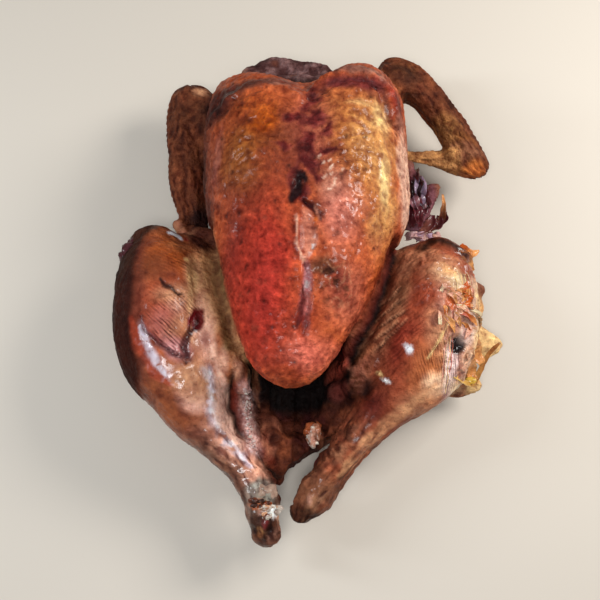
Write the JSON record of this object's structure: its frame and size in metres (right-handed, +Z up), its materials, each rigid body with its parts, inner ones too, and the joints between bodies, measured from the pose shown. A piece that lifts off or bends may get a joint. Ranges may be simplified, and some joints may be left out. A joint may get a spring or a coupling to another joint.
{
  "type": "roast chicken",
  "caption": "Whole roast chicken lying on its back, breast up, legs spread, with crisp torn skin and an open body cavity at the tail.",
  "frame": {"origin": "middle of the bird's base, on the surface that it lies on", "axes": "+Z up through the breast, +Y towards the neck, +X towards the side whose wing is held out"},
  "size_m": [0.2402, 0.3118, 0.1157],
  "materials": {
    "roast_skin": "browned, oily crisp skin, golden to deep red-brown, with dark burnt edges and drier tan flesh"
  },
  "bodies": {
    "root": {"roast_chicken": "roast_skin"}
  },
  "joints": []
}
